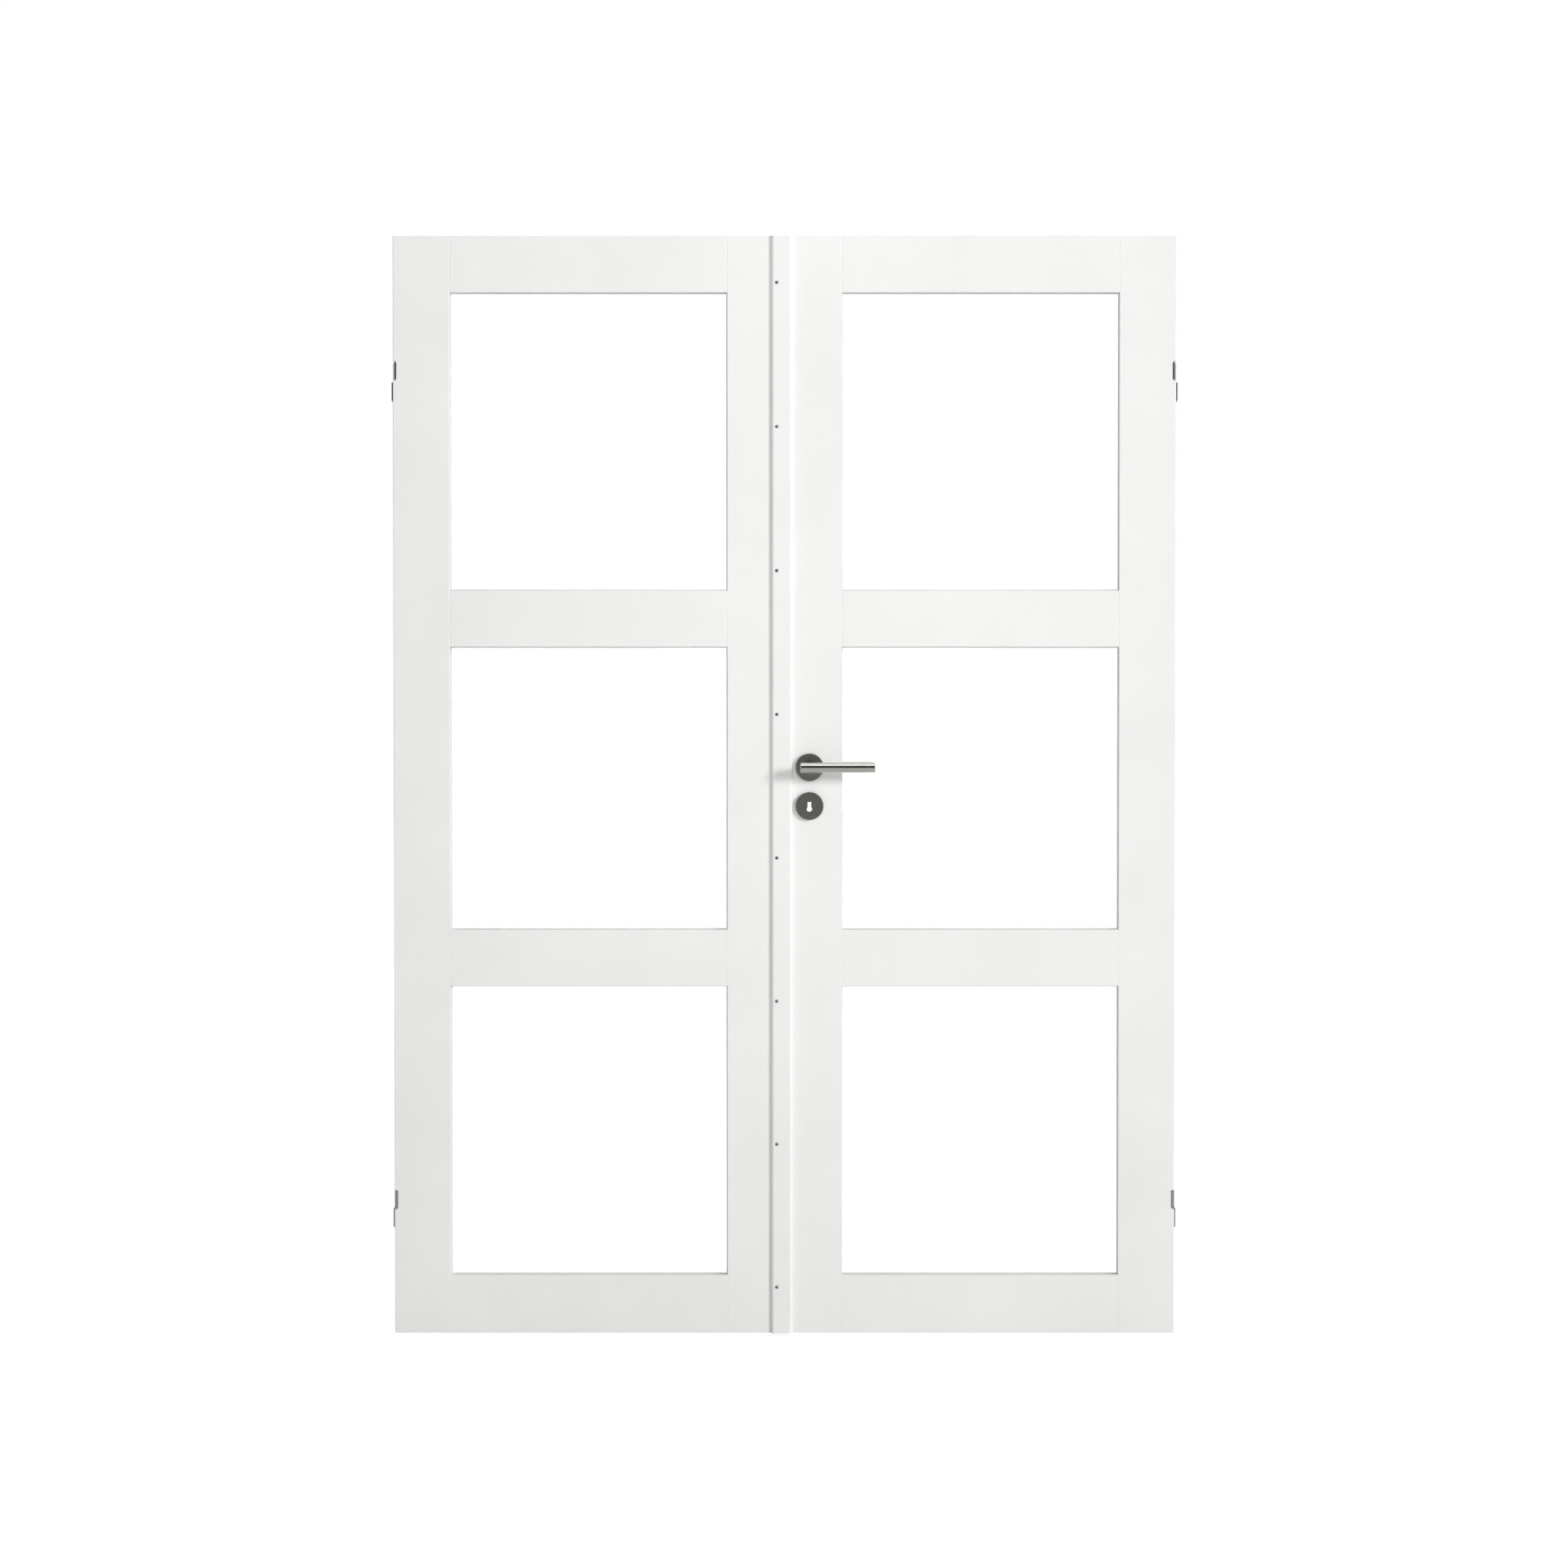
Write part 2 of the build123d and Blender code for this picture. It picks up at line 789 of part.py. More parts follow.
def dead_bolt():
    """The key-thrown bolt: a plain head, and a slotted tail with the notch that the key bit meets."""
    head_end = meeting_edge + dead_bolt_head_length
    tail_end = case_back - case_wall - dead_bolt_tail_end
    tail_head = dead_bolt_height + dead_bolt_tail_height / 2
    with BuildPart() as bolt:
        with Locations(((meeting_edge + head_end) / 2, 0, dead_bolt_height)):
            Box(dead_bolt_head_length, bolt_head_thickness, bolt_head_height)
        with BuildSketch(facing_front(tail_thickness / 2)):
            with Locations((head_end, dead_bolt_height)):
                Rectangle(
                    tail_end - head_end, dead_bolt_tail_height, align=(Align.MIN, Align.CENTER)
                )
            with Locations((lock_x, tail_head)):
                SlotOverall(
                    2 * talon_depth + talon_width / 2,
                    talon_width,
                    rotation=90,
                    mode=Mode.SUBTRACT,
                )
            with Locations(
                (dead_bolt_guide_x + dead_bolt_throw / 2, dead_bolt_height - dead_bolt_slot_drop)
            ):
                SlotCenterToCenter(
                    dead_bolt_throw, 2 * (guide_radius + slide_gap), mode=Mode.SUBTRACT
                )
        extrude(amount=tail_thickness)
    return bolt


def active_meeting_stile():
    """The right leaf's meeting stile, cut for the lock, the spindle, the key and their screws."""
    blank = plain_meeting_stile()
    with BuildPart() as stile:
        add(blank.part)
        with BuildSketch(facing_x(meeting_edge, -1)):
            with Locations((0, forend_height)):
                SlotOverall(
                    forend_length + 2 * forend_gap, forend_width + 2 * forend_gap, rotation=90
                )
        extrude(amount=-forend_thickness, mode=Mode.SUBTRACT)
        with BuildSketch(facing_x(case_front, -1)):
            with Locations((0, (case_foot + case_head) / 2)):
                Rectangle(case_thickness + 2 * case_gap, case_head - case_foot + 2 * case_gap)
        extrude(amount=-(case_back - case_front + case_gap), mode=Mode.SUBTRACT)
        with BuildSketch(facing_front(back)):
            with Locations((lock_x, lever_height)):
                Circle(spindle_bore_radius)
            with Locations((lock_x, key_height)):
                SlotOverall(
                    escutcheon_hole_height + 2 * case_gap,
                    escutcheon_hole_width + 2 * case_gap,
                    rotation=90,
                )
        extrude(amount=leaf_thickness, mode=Mode.SUBTRACT)
        pilot_holes(
            facing_x(case_front, -1),
            forend_screw_points,
            wood_screw_radius,
            wood_screw_length - forend_thickness,
        )
        pilot_holes(facing_front(front), base_peg_points, base_peg_radius, base_peg_length)
        pilot_holes(
            facing_back(back),
            [(-x, z) for x, z in base_peg_points],
            base_peg_radius,
            base_peg_length,
        )
    return stile


def strike_outline(gap):
    """Sketches the strike plate: a round-ended strip with a lip to the back at the latch bolt."""
    with Locations((0, strike_height)):
        SlotOverall(strike_length + 2 * gap, strike_width + 2 * gap, rotation=90)
    with Locations((0, latch_height)):
        Rectangle(back, strike_lip_height + 2 * gap, align=(Align.MIN, Align.CENTER))


def strike_plate():
    with BuildPart() as plate:
        with BuildSketch(facing_x(-meeting_edge, 1)):
            strike_outline(0)
            bolt_windows(strike_window_gap, mode=Mode.SUBTRACT)
        extrude(amount=-strike_thickness)
        fillet(
            plate.edges().filter_by(Axis.Z).group_by(Axis.Y)[-1].sort_by(Axis.X)[-1],
            strike_thickness * 3 / 4,
        )
        sink_holes(
            facing_x(-meeting_edge, 1),
            strike_screw_points,
            wood_screw_radius,
            wood_screw_head_radius,
            strike_thickness,
        )
    return plate


def passive_meeting_stile():
    """The left leaf's meeting stile, cut for the strike plate, both flush bolts and the screws."""
    blank = plain_meeting_stile()
    with BuildPart() as stile:
        mirror(blank.part, about=LEFT_TO_RIGHT)
        with BuildSketch(facing_x(-meeting_edge, 1)):
            strike_outline(forend_gap)
        extrude(amount=-strike_thickness, mode=Mode.SUBTRACT)
        with BuildSketch(facing_x(-meeting_edge, 1)):
            bolt_windows(strike_window_gap)
        extrude(amount=-(dead_bolt_throw + strike_pocket_room), mode=Mode.SUBTRACT)
        pilot_holes(
            facing_x(-meeting_edge - strike_thickness, 1),
            strike_screw_points,
            wood_screw_radius,
            wood_screw_length - strike_thickness,
        )
        flush_heights = (flush_plate_height, leaf_height - flush_plate_height)
        with BuildSketch(facing_x(-meeting_edge, 1)):
            with Locations(*[(0, z) for z in flush_heights]):
                SlotOverall(
                    flush_plate_length + 2 * forend_gap,
                    flush_plate_width + 2 * forend_gap,
                    rotation=90,
                )
        extrude(amount=-flush_plate_thickness, mode=Mode.SUBTRACT)
        with BuildSketch(facing_x(-meeting_edge, 1)):
            with Locations(*[(0, z) for z in flush_heights]):
                Rectangle(flush_slot_width, flush_slot_height)
        extrude(
            amount=-(flush_bolt_setback + flush_bolt_radius + slide_gap), mode=Mode.SUBTRACT
        )
        pilot_holes(
            Plane.XY.offset(leaf_height),
            [(flush_bolt_x, 0)],
            flush_bolt_radius + slide_gap,
            flush_bolt_bore,
        )
        pilot_holes(
            Plane((0, 0, 0), x_dir=(1, 0, 0), z_dir=(0, 0, -1)),
            [(flush_bolt_x, 0)],
            flush_bolt_radius + slide_gap,
            flush_bolt_bore,
        )
        pilot_holes(
            facing_x(-meeting_edge - flush_plate_thickness, 1),
            flush_screw_points,
            wood_screw_radius,
            flush_screw_length - flush_plate_thickness,
        )
        pilot_holes(
            facing_front(front),
            strip_screw_points,
            strip_screw_radius,
            strip_screw_length - strip_thickness,
        )
    return stile


def flush_bolt_plate():
    """The upper flush bolt's plate in the left leaf's edge, with a slot for the thumb piece."""
    with BuildPart() as plate:
        with BuildSketch(facing_x(-meeting_edge, 1)):
            with Locations((0, flush_plate_height)):
                SlotOverall(flush_plate_length, flush_plate_width, rotation=90)
                Rectangle(flush_slot_width, flush_slot_height, mode=Mode.SUBTRACT)
        extrude(amount=-flush_plate_thickness)
        sink_holes(
            facing_x(-meeting_edge, 1),
            [(0, z) for z in flush_screw_heights],
            wood_screw_radius,
            wood_screw_head_radius,
            flush_plate_thickness,
        )
    return plate


def flush_bolt():
    """The upper flush bolt, drawn in: a rod up to the leaf's head and a ridged thumb piece."""
    thumb_face = -meeting_edge - thumb_sink
    ridge_pitch = thumb_height / (thumb_ridge_count + 1)
    with BuildPart() as bolt:
        with BuildSketch(Plane.XY.offset(thumb_foot)):
            with Locations((flush_bolt_x, 0)):
                Circle(flush_bolt_radius)
        extrude(amount=leaf_height - flush_bolt_sink - thumb_foot)
        chamfer(bolt.edges().group_by(Axis.Z)[-1], flush_bolt_sink)
        with BuildSketch(Plane.XY.offset(thumb_foot)):
            with Locations((flush_bolt_x, 0)):
                Rectangle(thumb_face - flush_bolt_x, thumb_width, align=(Align.MIN, Align.CENTER))
        extrude(amount=thumb_height)
        with Locations(
            *[(thumb_face, 0, thumb_foot + n * ridge_pitch) for n in range(1, thumb_ridge_count + 1)]
        ):
            Box(2 * thumb_ridge, thumb_width, thumb_ridge, mode=Mode.SUBTRACT)
    return bolt


def spindle():
    with BuildPart() as bar:
        with Locations((lock_x, 0, lever_height)):
            Box(spindle_size, spindle_length, spindle_size)
    return bar


def lever():
    """The front lever: a straight round bar across a round neck, bored square for the spindle."""
    neck_end = front - neck_end_gap
    with BuildPart() as handle:
        with BuildSketch(facing_front(neck_end)):
            with Locations((lock_x, lever_height)):
                Circle(neck_radius)
        extrude(amount=neck_end - lever_axis_y)
        with BuildSketch(Plane.YZ.offset(lock_x - lever_heel)):
            with Locations((lever_axis_y, lever_height)):
                Circle(lever_radius)
        extrude(amount=lever_length)
        bar_ends = handle.edges().filter_by(GeomType.CIRCLE).group_by(SortBy.RADIUS)[-1]
        chamfer(bar_ends, lever_end_bevel)
        with BuildSketch(facing_front(neck_end)):
            with Locations((lock_x, lever_height)):
                Rectangle(spindle_size + 2 * spindle_gap, spindle_size + 2 * spindle_gap)
        extrude(amount=spindle_socket, mode=Mode.SUBTRACT)
        with Locations((lock_x, front - set_screw_distance, lever_height)):
            Cylinder(
                set_screw_radius + spindle_gap,
                neck_radius,
                align=(Align.CENTER, Align.CENTER, Align.MAX),
                mode=Mode.SUBTRACT,
            )
    return handle


def set_screw():
    """The grub screw under the front lever's neck that bears on the spindle."""
    with BuildPart() as grub:
        with Locations(
            (lock_x, front - set_screw_distance, lever_height - spindle_size / 2 - spindle_gap)
        ):
            Cylinder(
                set_screw_radius, set_screw_length, align=(Align.CENTER, Align.CENTER, Align.MAX)
            )
    return grub


def round_cover(height):
    """A turned cup, open towards the leaf."""
    with BuildSketch(facing_front(front)) as disc:
        with Locations((lock_x, height)):
            Circle(rose_radius)
    extrude(disc.sketch, amount=rose_height)
    with BuildSketch(facing_front(front)) as hollow:
        with Locations((lock_x, height)):
            Circle(rose_radius - rose_wall)
    extrude(hollow.sketch, amount=rose_height - rose_wall, mode=Mode.SUBTRACT)


def round_base(height):
    """The disc that a cover snaps over, with two pegs that enter the wood."""
    with BuildSketch(facing_front(front)) as disc:
        with Locations((lock_x, height)):
            Circle(rose_radius - rose_wall - base_gap)
    extrude(disc.sketch, amount=rose_height - rose_wall)
    with BuildSketch(facing_front(front)) as pegs:
        with Locations(*[(lock_x, height + end * base_peg_spacing / 2) for end in (-1, 1)]):
            Circle(base_peg_radius)
    extrude(pegs.sketch, amount=-base_peg_length)


def escutcheon_opening():
    """Sketches the long round-ended opening of a key escutcheon."""
    with Locations((lock_x, key_height)):
        SlotOverall(escutcheon_hole_height, escutcheon_hole_width, rotation=90)


def lever_rose():
    with BuildPart() as rose:
        round_cover(lever_height)
        fillet(rose.edges().group_by(Axis.Y)[0], rose_edge_radius)
        with BuildSketch(facing_front(front)):
            with Locations((lock_x, lever_height)):
                Circle(neck_radius + neck_gap)
        extrude(amount=rose_height, mode=Mode.SUBTRACT)
    return rose


def key_escutcheon():
    with BuildPart() as escutcheon:
        round_cover(key_height)
        fillet(escutcheon.edges().group_by(Axis.Y)[0], rose_edge_radius)
        with BuildSketch(facing_front(front)):
            escutcheon_opening()
        extrude(amount=rose_height, mode=Mode.SUBTRACT)
    return escutcheon


def rose_base():
    with BuildPart() as base:
        round_base(lever_height)
        with BuildSketch(facing_front(front)):
            with Locations((lock_x, lever_height)):
                Circle(neck_radius + running_fit)
        extrude(amount=rose_height - rose_wall, mode=Mode.SUBTRACT)
    return base


def escutcheon_base():
    with BuildPart() as base:
        round_base(key_height)
        with BuildSketch(facing_front(front)):
            escutcheon_opening()
        extrude(amount=rose_height - rose_wall, mode=Mode.SUBTRACT)
    return base


def cover_strip_screws():
    with BuildPart() as screws:
        place_screws(strip_screw, facing_front(strip_face), strip_screw_points)
    return screws


def active_leaf_screws():
    """The right leaf's countersunk screws: four in the hinge halves and two in the forend."""
    with BuildPart() as screws:
        place_screws(wood_screw, facing_x(outer_edge - leaf_plate_setback, 1), hinge_screw_points)
        place_screws(wood_screw, facing_x(meeting_edge, -1), forend_screw_points)
    return screws


def passive_leaf_screws():
    """The left leaf's: four in the hinge halves, two in the strike plate, four in the bolts."""
    with BuildPart() as screws:
        place_screws(
            wood_screw, facing_x(leaf_plate_setback - outer_edge, -1), hinge_screw_points
        )
        place_screws(wood_screw, facing_x(-meeting_edge, 1), strike_screw_points)
        place_screws(flush_screw, facing_x(-meeting_edge, 1), flush_screw_points)
    return screws


def drawn_spring(start, end, y, z):
    """A close-wound coil along X, plain outside, with a straight wire out of each end."""
    for radius, margin in ((spring_wire_radius, 0), (spring_radius, spring_end_wire)):
        with BuildSketch(LEFT_TO_RIGHT.offset(start + margin)) as section:
            with Locations((y, z)):
                Circle(radius)
        extrude(section.sketch, amount=end - start - 2 * margin)


def lock_springs():
    """Two drawn coil springs: one turns the follower back, one pulls the latch bolt out."""
    arm_angle = radians(lever_turn / 2)
    arm_tip = lock_x + arm_reach * sin(arm_angle) + arm_width / 2
    arm_height = lever_height - arm_reach * cos(arm_angle)
    with BuildPart() as springs:
        drawn_spring(arm_tip + slide_gap, case_back - case_wall - slide_gap, 0, arm_height)
        drawn_spring(
            case_stud_x + spring_stud_radius + slide_gap,
            latch_stud_x - spring_stud_radius - slide_gap,
            (tail_thickness / 2 + case_inside) / 2,
            spring_stud_height,
        )
    return springs


def write_leaf(name, about, meeting_stile):
    """Writes the wood, the glass and the beads of one leaf, turned over by mirroring if asked."""
    pieces = {"outer_stile": outer_stile(), "glazing_beads": glazing_beads()}
    pieces.update({part: rail(*span) for part, span in rails.items()})
    pieces.update({part: glass(*span) for part, span in openings.items()})
    pieces["hinge_halves"] = leaf_hinge_halves()
    for part, piece in pieces.items():
        save(mirrored(piece, about) if about else piece, f"{name}_{part}")
    save(meeting_stile, f"{name}_meeting_stile")


os.makedirs("parts", exist_ok=True)

write_leaf("active", None, active_meeting_stile())
write_leaf("passive", LEFT_TO_RIGHT, passive_meeting_stile())
save(active_leaf_screws(), "active_leaf_screws")
save(passive_leaf_screws(), "passive_leaf_screws")

save(cover_strip(), "cover_strip")
save(cover_strip_screws(), "cover_strip_screws")
save(strike_plate(), "strike_plate")
save(flush_bolt_plate(), "top_flush_bolt_plate")
save(mirrored(flush_bolt_plate(), TOP_TO_BOTTOM), "bottom_flush_bolt_plate")
save(flush_bolt(), "top_flush_bolt")
save(mirrored(flush_bolt(), TOP_TO_BOTTOM), "bottom_flush_bolt")

save(lock_case(), "lock_case")
save(lock_cover(), "lock_cover")
save(forend(), "lock_forend")
save(lock_follower(), "lock_follower")
save(latch_bolt(), "latch_bolt")
save(dead_bolt(), "dead_bolt")
save(lock_springs(), "lock_springs")

save(spindle(), "spindle")
save(lever(), "front_lever")
save(mirrored(lever(), FRONT_TO_BACK), "back_lever")
save(joined_copies(set_screw(), FRONT_TO_BACK), "lever_set_screws")
save(lever_rose(), "front_lever_rose")
save(mirrored(lever_rose(), FRONT_TO_BACK), "back_lever_rose")
save(key_escutcheon(), "front_key_escutcheon")
save(mirrored(key_escutcheon(), FRONT_TO_BACK), "back_key_escutcheon")
save(joined_copies(rose_base(), FRONT_TO_BACK), "lever_rose_bases")
save(joined_copies(escutcheon_base(), FRONT_TO_BACK), "key_escutcheon_bases")

for position, height in zip(("lower", "upper"), hinge_heights):
    save(frame_hinge_half(height), f"right_{position}_frame_hinge")
    save(mirrored(frame_hinge_half(height), LEFT_TO_RIGHT), f"left_{position}_frame_hinge")
save(joined_copies(hinge_pins(), LEFT_TO_RIGHT), "hinge_pins")
save(joined_copies(hinge_washers(), LEFT_TO_RIGHT), "hinge_washers")
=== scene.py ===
"""The looks of a pair of glazed doors: sprayed white paint, clear panes and satin steel."""

import json
import math

import bmesh
import bpy
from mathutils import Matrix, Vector


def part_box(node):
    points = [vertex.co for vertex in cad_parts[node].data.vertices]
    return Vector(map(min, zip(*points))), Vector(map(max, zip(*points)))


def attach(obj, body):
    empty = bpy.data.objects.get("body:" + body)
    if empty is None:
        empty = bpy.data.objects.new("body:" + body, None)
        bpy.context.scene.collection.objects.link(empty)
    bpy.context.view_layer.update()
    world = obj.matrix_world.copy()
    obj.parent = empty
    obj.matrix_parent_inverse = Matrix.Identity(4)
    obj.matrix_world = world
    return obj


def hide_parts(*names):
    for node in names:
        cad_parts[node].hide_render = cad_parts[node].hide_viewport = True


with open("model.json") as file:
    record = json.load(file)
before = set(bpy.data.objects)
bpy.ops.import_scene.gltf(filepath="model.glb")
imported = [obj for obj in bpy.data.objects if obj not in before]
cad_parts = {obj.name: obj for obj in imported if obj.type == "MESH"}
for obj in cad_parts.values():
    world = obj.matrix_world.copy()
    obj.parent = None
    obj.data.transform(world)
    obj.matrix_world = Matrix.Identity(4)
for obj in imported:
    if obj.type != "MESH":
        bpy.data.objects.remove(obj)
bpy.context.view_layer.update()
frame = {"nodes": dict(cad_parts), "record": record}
nodes = frame["nodes"]
MM = 0.001

# A noise mostly lies between these two values.
NOISE_LOW, NOISE_HIGH = 0.3, 0.7
NOISE_ROUGHNESS = 0.55
# The places of the two colours, and of their blend, among the sockets of a Mix node.
DARK_SOCKET, LIGHT_SOCKET, BLEND_SOCKET = 6, 7, 2

# The silicone round each pane: how much of the pane the wood holds, and how thick the bead is.
GLASS_HELD = 10 * MM
SEAL_THICKNESS = 2 * MM
SEAL_RADIUS = SEAL_THICKNESS / 2
SEAL_SIDES = 8

# The countersunk screws. An arm of the cross is measured in radii of the head, from tip to tip.
SHANK_RADIUS = 1.75 * MM
RECESS_DEPTH = 1.1 * MM
RECESS_REACH = 1.15
RECESS_WIDTH = 0.26
HEAD_SIDES = 24
SHANK_SIDES = 16
# Corners nearer to each other than the first are one, and corners within the second of a screw's
# end lie on it.
ONE_CORNER = MM / 1000
ON_THE_END = MM / 100

# The floor, in metres: far past what the camera sees, and a little below the hung leaves. Its glow
# and the light that falls on it add up to white for the camera.
FLOOR_REACH = 30.0
FLOOR_DROP = 8 * MM
FLOOR_WHITE = 0.7

# Two faces of glass take a little light away, and this much gives it back.
THROUGH_GLASS = 1.09
# Where the room changes, by the way a ray goes: Y is -1 towards the camera and 1 away from it, and
# Z is 1 straight up. Metal sees the dim side turn to the white one, and the white ceiling begin.
# Light changes from the level in front of the doors to the level behind them.
DIM_ENDS, WHITE_BEGINS = -0.75, 0.1
CEILING_BEGINS, CEILING_FULL = 0.76, 0.92
FRONT_ENDS, BACK_BEGINS = -0.25, 0.25

SENSOR_MM = 36
LENS_MM = 86.21
CAMERA_PLACE = Vector((-0.0009, -7.0, 1.18))
AIM = Vector((-0.0009, -0.02, 1.024))


def srgb(code):
    """Turns a hex colour, as a screen shows it, into the linear colour that a shader takes."""
    parts = [int(code[place:place + 2], 16) / 255 for place in (1, 3, 5)]
    return tuple(((c + 0.055) / 1.055) ** 2.4 if c > 0.04045 else c / 12.92 for c in parts) + (1.0,)


WHITE = srgb("#FFFFFF")


def add(tree, kind, inputs=None, **settings):
    """Adds one node. An input is a plain value, or the output of another node, which is linked."""
    made = tree.nodes.new(kind)
    for name, value in settings.items():
        setattr(made, name, value)
    for place, value in (inputs or {}).items():
        if isinstance(value, bpy.types.NodeSocket):
            tree.links.new(value, made.inputs[place])
        else:
            made.inputs[place].default_value = value
    return made


def finish_of(name, **look):
    """Starts a material with its Principled shader set, and gives back both."""
    made = bpy.data.materials.new(name)
    made.use_nodes = True
    shader = made.node_tree.nodes["Principled BSDF"]
    for socket, value in look.items():
        shader.inputs[socket.replace("_", " ")].default_value = value
    return made, shader


def grain(tree, size_mm, stretch=(1, 1, 1), detail=3.0):
    """A noise whose specks are size_mm across, drawn out along the axes where stretch is small."""
    place = add(tree, "ShaderNodeTexCoord")
    drawn = add(tree, "ShaderNodeMapping", {"Vector": place.outputs["Object"], "Scale": stretch})
    return add(tree, "ShaderNodeTexNoise", {
        "Vector": drawn.outputs["Vector"], "Scale": 1 / (size_mm * MM), "Detail": detail,
        "Roughness": NOISE_ROUGHNESS}).outputs["Fac"]


def dress(tree, shader, pattern, tones, dullness, *bumps):
    """Gives a finish its dark and light tone and its lowest and highest roughness, both by one
    pattern, and its bumps, each a height and a depth in millimetres."""
    blend, roughness = [
        add(tree, "ShaderNodeMapRange", {
            "Value": pattern, "From Min": NOISE_LOW, "From Max": NOISE_HIGH,
            "To Min": low, "To Max": high}).outputs["Result"]
        for low, high in ((0.0, 1.0), dullness)]
    dark, light = tones
    colour = add(tree, "ShaderNodeMix", {
        "Factor": blend, DARK_SOCKET: srgb(dark), LIGHT_SOCKET: srgb(light)}, data_type="RGBA")
    tree.links.new(colour.outputs[BLEND_SOCKET], shader.inputs["Base Color"])
    tree.links.new(roughness, shader.inputs["Roughness"])
    normal = None
    for height, depth_mm in bumps:
        inputs = {"Height": height, "Distance": depth_mm * MM, "Strength": 1.0}
        if normal:
            inputs["Normal"] = normal
        normal = add(tree, "ShaderNodeBump", inputs).outputs["Normal"]
    tree.links.new(normal, shader.inputs["Normal"])


def painted_wood(name, stretch):
    """Satin lacquer sprayed on solid pine: an even white with a fine orange peel, a sheen that
    differs a little from place to place, and the grain just felt through it."""
    made, shader = finish_of(name, IOR=1.5)
    tree = made.node_tree
    # A coat varies over the width of a spray fan, its peel has 1 to 2 mm from wave to wave, and
    # pine's year rings are 2 to 3 mm apart.
    clouds = grain(tree, size_mm=240)
    peel = grain(tree, size_mm=1.6, detail=2.0)
    year_rings = grain(tree, size_mm=2.5, stretch=stretch, detail=4.0)
    dress(tree, shader, clouds, ("#F3F3F2", "#F8F8F7"), (0.4, 0.48), (peel, 0.03),
          (year_rings, 0.02))
    return made


def float_glass():
    """Clear float glass: bright and colourless, with the slightest unevenness in its gloss. Light
    passes straight through it on to the sills and jambs behind."""
    made, shader = finish_of("float_glass", IOR=1.5, Transmission_Weight=1.0,
                             Base_Color=srgb("#FEFFFE"))
    tree = made.node_tree
    haze = add(tree, "ShaderNodeMapRange", {
        "Value": grain(tree, size_mm=60), "From Min": NOISE_LOW, "From Max": NOISE_HIGH,
        "To Min": 0.0, "To Max": 0.012})
    tree.links.new(haze.outputs["Result"], shader.inputs["Roughness"])
    path = add(tree, "ShaderNodeLightPath")
    lit_through = add(tree, "ShaderNodeMath", {
        0: path.outputs["Is Shadow Ray"], 1: path.outputs["Is Diffuse Ray"]}, operation="MAXIMUM")
    clear = add(tree, "ShaderNodeBsdfTransparent", {"Color": srgb("#F6FAF7")})
    mix = add(tree, "ShaderNodeMixShader", {
        0: lit_through.outputs[0], 1: shader.outputs[0], 2: clear.outputs[0]})
    tree.links.new(mix.outputs[0], tree.nodes["Material Output"].inputs["Surface"])
    return made


def silicone():
    """Pale silicone drawn round each pane where it meets the lip: a soft satin skin with the
    marks of the tool."""
    made, shader = finish_of("pale_silicone", IOR=1.41)
    skin = grain(made.node_tree, size_mm=7)
    dress(made.node_tree, shader, skin, ("#E8E9E7", "#EEEFED"), (0.38, 0.52), (skin, 0.08))
    return made


def satin_steel(name, stretch, tones=("#B4B3AF", "#C9C8C4"), dullness=(0.26, 0.36),
                depth_mm=0.004):
    """Stainless steel brushed to a satin: short streaks in the direction of the brush, which
    soften the reflections along it. A real brush leaves lines of less than 0.1 mm, and they are
    drawn 0.35 mm wide, so that they show."""
    made, shader = finish_of(name, Metallic=1.0)
    streaks = grain(made.node_tree, size_mm=0.35, stretch=stretch, detail=4.0)
    dress(made.node_tree, shader, streaks, tones, dullness, (streaks, depth_mm))
    return made


def zinc_plate(name, tones, dullness=(0.3, 0.42)):
    """Zinc-plated pressed steel: pale grey with faint cloudy patches left by the bath. The
    plating's own specks are finer than the 0.5 mm drawn here, so that they show."""
    made, shader = finish_of(name, Metallic=1.0)
    patches = grain(made.node_tree, size_mm=9)
    specks = grain(made.node_tree, size_mm=0.5)
    dress(made.node_tree, shader, patches, tones, dullness, (specks, 0.006))
    return made


def moulded_plastic():
    """Black moulded nylon: a fine spark-eroded texture and a dull sheen. The texture is drawn at
    0.6 mm, a few times coarser than a mould has it, so that it shows."""
    made, shader = finish_of("moulded_nylon", IOR=1.5)
    texture = grain(made.node_tree, size_mm=0.6)
    dress(made.node_tree, shader, texture, ("#1C1C1D", "#262627"), (0.5, 0.62), (texture, 0.02))
    return made


def turned_brass():
    """Turned brass: a warm yellow with rings from the lathe, drawn coarser than its real feed of
    about 0.1 mm, so that they show."""
    made, shader = finish_of("turned_brass", Metallic=1.0)
    rings = grain(made.node_tree, size_mm=0.4, stretch=(0.2, 0.2, 3.0))
    dress(made.node_tree, shader, rings, ("#B8923F", "#CFAB58"), (0.22, 0.34), (rings, 0.004))
    return made


# Grain and brush marks run along the axis where the stretch is small: X for rails and levers, and
# Z for stiles, discs, plates and hinges.
upright_paint = painted_wood("painted_pine_upright", (1.0, 1.0, 0.03))
level_paint = painted_wood("painted_pine_level", (0.03, 1.0, 1.0))
lever_steel = satin_steel("satin_stainless_bar", (0.02, 1.0, 1.0), dullness=(0.15, 0.21),
                          depth_mm=0.0006)
pale_seal = silicone()
screw_steel = zinc_plate("zinc_plated_screw_steel", ("#A9AAA8", "#BFC0BD"), dullness=(0.44, 0.54))

